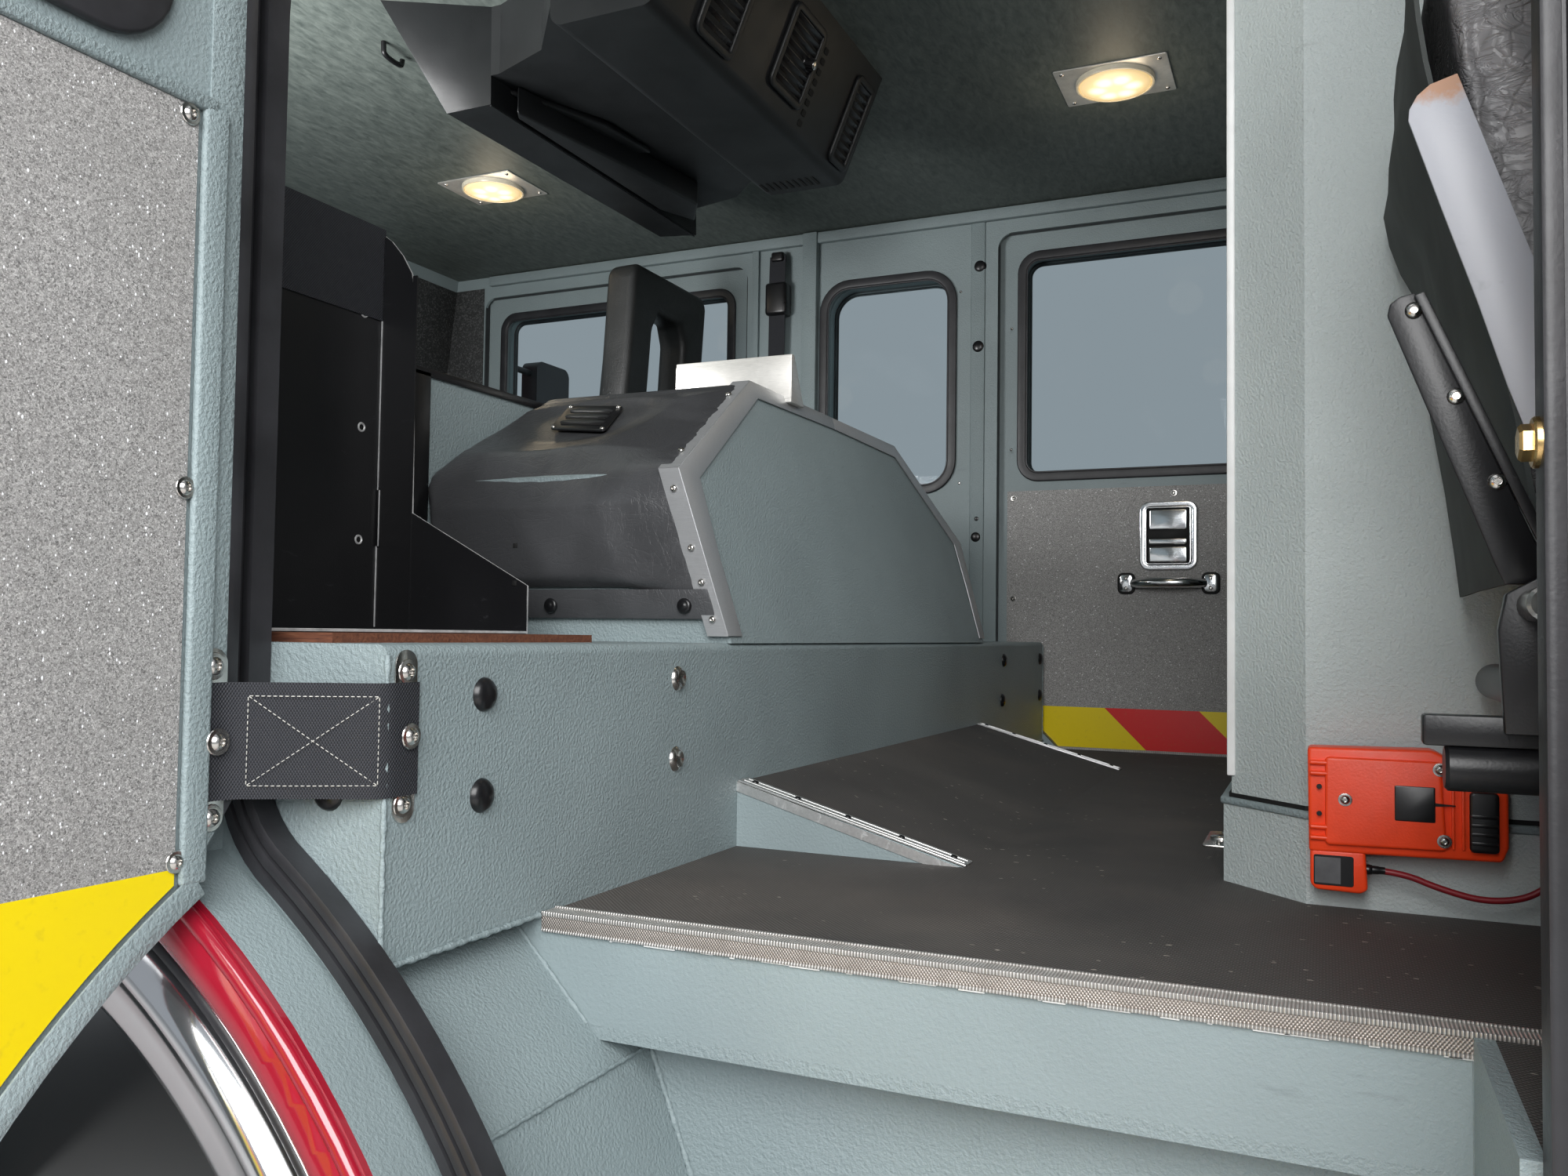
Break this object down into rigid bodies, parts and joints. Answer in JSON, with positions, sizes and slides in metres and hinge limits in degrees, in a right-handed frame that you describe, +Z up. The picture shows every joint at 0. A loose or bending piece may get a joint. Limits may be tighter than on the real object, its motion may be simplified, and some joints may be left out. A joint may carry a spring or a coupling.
{
  "type": "fire truck crew cab",
  "caption": "Four-door tilt crew cab with engine tunnel, seat riser, step wells, rear cabinet, flip-up seats and hinged doors.",
  "frame": {"origin": "middle of the front tilt pivot line, on the cab centre plane", "axes": "+X forward, +Y left, +Z up"},
  "size_m": [3.248, 3.626, 2.18],
  "materials": {
    "body_paint": "gloss",
    "cab_coating": "fine spatter texture",
    "liner": "brushed",
    "fleck_panel": "speckled",
    "glass": "clear",
    "seal_rubber": "ribbed",
    "floor_mat": "ribbed",
    "bright_metal": "polished",
    "trim_aluminium": "satin",
    "black_steel": "satin",
    "moulding": "fine grain",
    "vinyl": "wrinkled",
    "board": "raw",
    "webbing": "woven",
    "charger_shell": "satin",
    "lamp_lens": "clear",
    "lead_jacket": "smooth"
  },
  "bodies": {
    "root": {"cab_mounts": "black_steel", "cabinet_door": "trim_aluminium", "charger": "charger_shell", "charger_lead": "lead_jacket", "cooler_board": "board", "cooler_bracket": "black_steel", "dashboard": "moulding", "dome_lights": "lamp_lens", "door_seals": "seal_rubber", "door_strap": "webbing", "edge_trims": "trim_aluminium", "engine_tunnel": "cab_coating", "fender_rings": "bright_metal", "fixed_glass": "glass", "floor_pan": "floor_mat", "floor_ramp": "floor_mat", "front_grille": "bright_metal", "front_seats": "vinyl", "front_wall": "body_paint", "handrails": "bright_metal", "head_lamps": "bright_metal", "headliner": "liner", "jump_seats": "vinyl", "light_bar": "lamp_lens", "overhead_console": "moulding", "rear_cabinet": "cab_coating", "rear_wall": "cab_coating", "roof": "body_paint", "seat_riser": "cab_coating", "side_wall_left": "body_paint", "side_wall_right": "body_paint", "steering_column": "moulding", "steps": "cab_coating", "tunnel_box": "trim_aluminium", "tunnel_covers": "vinyl", "wheel_houses": "cab_coating"},
    "door_rear_left_body": {"door_rear_left": "body_paint", "door_panel_rear_left": "fleck_panel", "door_glass_rear_left": "glass", "door_handles_rear_left": "bright_metal"},
    "door_rear_right_body": {"door_rear_right": "body_paint", "door_panel_rear_right": "fleck_panel", "door_glass_rear_right": "glass", "door_handles_rear_right": "bright_metal"},
    "door_front_left_body": {"door_front_left": "body_paint", "door_panel_front_left": "fleck_panel", "door_glass_front_left": "glass", "door_handles_front_left": "bright_metal", "mirror_left": "moulding"},
    "door_front_right_body": {"door_front_right": "body_paint", "door_panel_front_right": "fleck_panel", "door_glass_front_right": "glass", "door_handles_front_right": "bright_metal", "mirror_right": "moulding"},
    "cushion_left_body": {"seat_cushion_left": "vinyl"},
    "cushion_right_body": {"seat_cushion_right": "vinyl"},
    "steering_body": {"steering_wheel": "moulding"}
  },
  "joints": [
    {"name": "rear_left_door", "type": "hinge", "parent": "root", "child": "door_rear_left_body", "pos_m": [-1.722, 1.212, 0.4], "axis": [0, 0, -1], "range_deg": [-90, 0], "deforming": ["door_strap"]},
    {"name": "rear_right_door", "type": "hinge", "parent": "root", "child": "door_rear_right_body", "pos_m": [-1.722, -1.212, 0.4], "axis": [0, 0, 1], "range_deg": [0, 90]},
    {"name": "front_left_door", "type": "hinge", "parent": "root", "child": "door_front_left_body", "pos_m": [-0.092, 1.212, 0.4], "axis": [0, 0, -1], "range_deg": [0, 90]},
    {"name": "front_right_door", "type": "hinge", "parent": "root", "child": "door_front_right_body", "pos_m": [-0.092, -1.212, 0.4], "axis": [0, 0, 1], "range_deg": [0, 90]},
    {"name": "left_seat_cushion", "type": "hinge", "parent": "root", "child": "cushion_left_body", "pos_m": [-2.617, 0.84, 0.524], "axis": [0, 1, 0], "range_deg": [0, 80], "stiffness_Nm_per_rad": 8, "springref_deg": -108.86},
    {"name": "right_seat_cushion", "type": "hinge", "parent": "root", "child": "cushion_right_body", "pos_m": [-2.617, -0.84, 0.524], "axis": [0, 1, 0], "range_deg": [0, 80], "stiffness_Nm_per_rad": 8, "springref_deg": -108.86},
    {"name": "steering", "type": "hinge", "parent": "root", "child": "steering_body", "pos_m": [-0.52, 0.85, 0.95], "axis": [-0.5736, 0, 0.8192], "range_deg": [-810, 810]}
  ]
}
